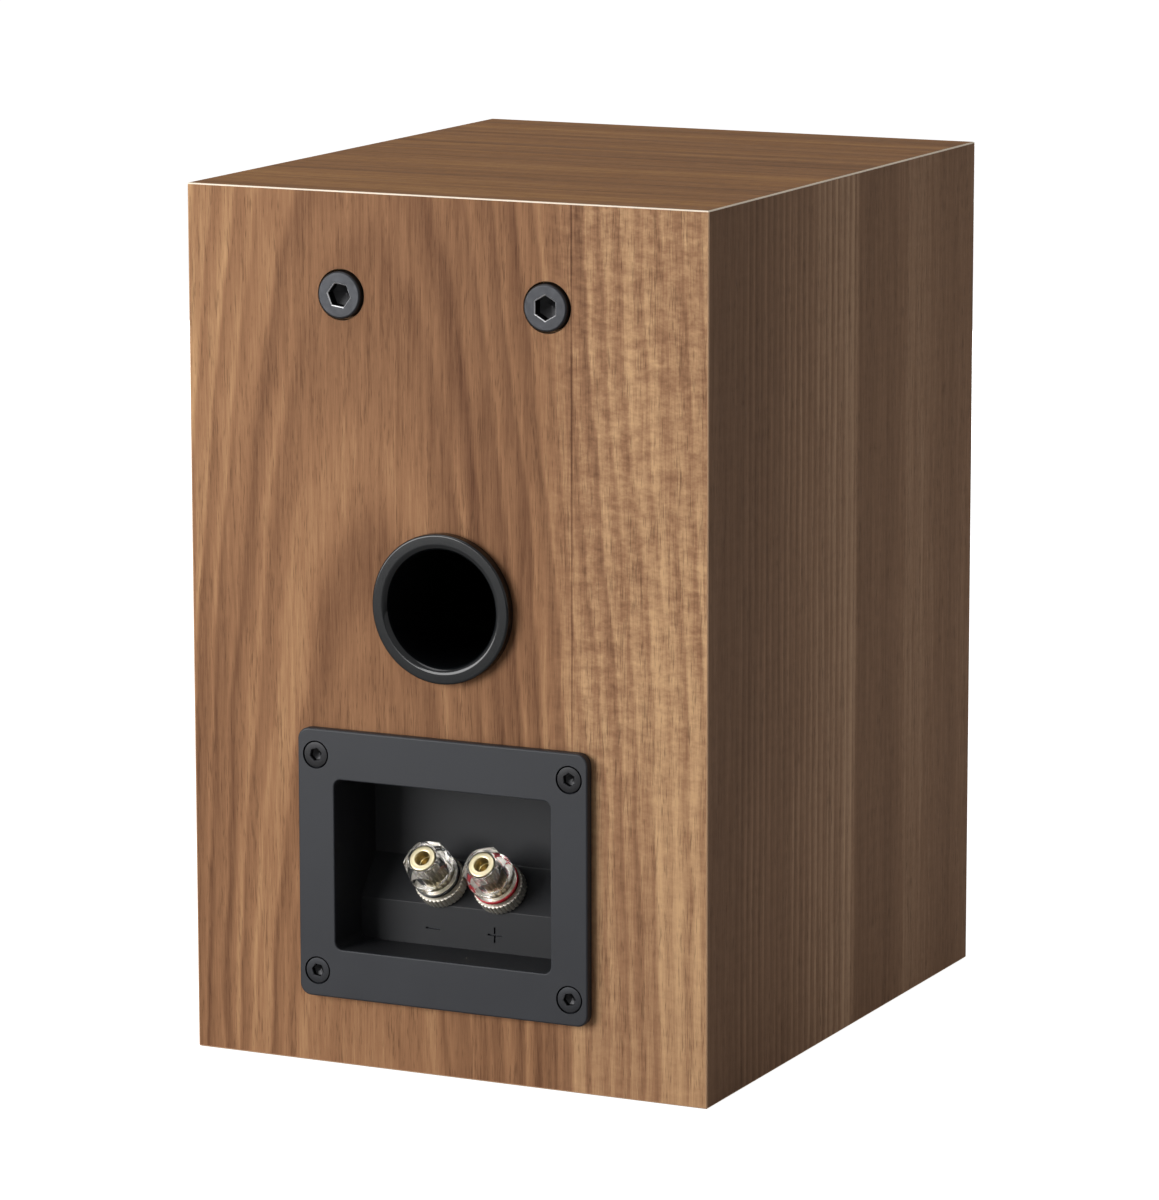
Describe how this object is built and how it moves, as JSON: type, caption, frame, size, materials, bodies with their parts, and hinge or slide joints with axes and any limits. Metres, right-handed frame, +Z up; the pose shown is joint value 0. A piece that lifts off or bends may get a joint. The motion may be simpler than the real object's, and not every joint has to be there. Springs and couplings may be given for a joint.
{
  "type": "bookshelf speaker",
  "caption": "Two-way bookshelf speaker in a mitred walnut cabinet with a rear port, recessed binding posts and wall-hanging bolts.",
  "frame": {"origin": "on the floor, under the middle of the overall box", "axes": "+Z up, the front baffle faces -Y, the rear panel with its port and terminals faces +Y, +X to the left when seen from behind"},
  "size_m": [0.164, 0.1994, 0.255],
  "materials": {
    "walnut": "satin",
    "baffle_black": "satin",
    "satin_black": "satin",
    "gloss_black": "gloss",
    "black_steel": "satin",
    "zinc": "satin",
    "gold": "polished",
    "nickel": "polished",
    "acrylic": "clear",
    "red_plastic": "gloss",
    "black_plastic": "gloss",
    "rubber": "matte",
    "paper_cone": "matte",
    "silk": "matte",
    "spider_cloth": "matte",
    "ferrite": "matte",
    "copper": "polished",
    "board_green": "satin",
    "film_yellow": "gloss",
    "wadding_white": "matte"
  },
  "bodies": {
    "root": {"bottom_panel": "walnut", "crossover_board": "board_green", "crossover_capacitor": "film_yellow", "crossover_choke": "copper", "front_baffle": "baffle_black", "input_lead_negative": "black_plastic", "input_lead_positive": "red_plastic", "knurled_collar_negative": "nickel", "knurled_collar_positive": "nickel", "left_panel": "walnut", "port_tube": "gloss_black", "post_nut_negative": "nickel", "post_nut_positive": "nickel", "post_rod_negative": "gold", "post_rod_positive": "gold", "rear_panel": "walnut", "right_panel": "walnut", "terminal_cup": "satin_black", "terminal_gasket": "rubber", "terminal_screw_1": "black_steel", "terminal_screw_2": "black_steel", "terminal_screw_3": "black_steel", "terminal_screw_4": "black_steel", "top_panel": "walnut", "tweeter_faceplate": "satin_black", "tweeter_lead": "black_plastic", "tweeter_motor": "ferrite", "tweeter_screw_1": "black_steel", "tweeter_screw_2": "black_steel", "tweeter_screw_3": "black_steel", "tweeter_surround": "silk", "wadding": "wadding_white", "wall_bolt_left": "black_steel", "wall_bolt_right": "black_steel", "wall_insert_left": "zinc", "wall_insert_right": "zinc", "woofer_basket": "black_steel", "woofer_gasket": "rubber", "woofer_lead": "black_plastic", "woofer_magnet": "ferrite", "woofer_screw_1": "black_steel", "woofer_screw_2": "black_steel", "woofer_screw_3": "black_steel", "woofer_screw_4": "black_steel", "woofer_spider": "spider_cloth", "woofer_surround": "rubber", "woofer_top_plate": "zinc", "woofer_yoke": "zinc"},
    "washer_negative": {"clamp_washer_negative": "nickel"},
    "cap_negative": {"colour_ring_negative": "black_plastic", "post_cap_negative": "acrylic", "post_sleeve_negative": "gold"},
    "washer_positive": {"clamp_washer_positive": "nickel"},
    "cap_positive": {"colour_ring_positive": "red_plastic", "post_cap_positive": "acrylic", "post_sleeve_positive": "gold"},
    "cone_assembly": {"woofer_cone": "paper_cone", "woofer_dust_cap": "rubber", "woofer_voice_coil": "copper"},
    "dome_assembly": {"tweeter_dome": "silk"}
  },
  "joints": [
    {"name": "cap_negative_travel", "type": "slide", "parent": "root", "child": "washer_negative", "axis": [0, 0.788, 0.6157], "range_m": [0, 0.005]},
    {"name": "cap_negative_screw", "type": "hinge", "parent": "washer_negative", "child": "cap_negative", "pos_m": [0.0095, 0.0784, 0.05174], "axis": [0, 0.788, 0.6157], "range_deg": [0, 1800]},
    {"name": "cap_positive_travel", "type": "slide", "parent": "root", "child": "washer_positive", "axis": [0, 0.788, 0.6157], "range_m": [0, 0.005]},
    {"name": "cap_positive_screw", "type": "hinge", "parent": "washer_positive", "child": "cap_positive", "pos_m": [-0.0095, 0.0784, 0.05174], "axis": [0, 0.788, 0.6157], "range_deg": [0, 1800]},
    {"name": "cone_travel", "type": "slide", "parent": "root", "child": "cone_assembly", "axis": [0, 1, 0], "range_m": [-0.003, 0.003], "stiffness_N_per_m": 1100, "deforming": ["woofer_surround", "woofer_spider"]},
    {"name": "dome_travel", "type": "slide", "parent": "root", "child": "dome_assembly", "axis": [0, 1, 0], "range_m": [-0.0003, 0.0003], "stiffness_N_per_m": 1500, "deforming": ["tweeter_surround"]}
  ],
  "couplings": [
    {"joint": "cap_negative_travel", "follows": "cap_negative_screw", "m_per_rad": 0.00015915},
    {"joint": "cap_positive_travel", "follows": "cap_positive_screw", "m_per_rad": 0.00015915}
  ]
}
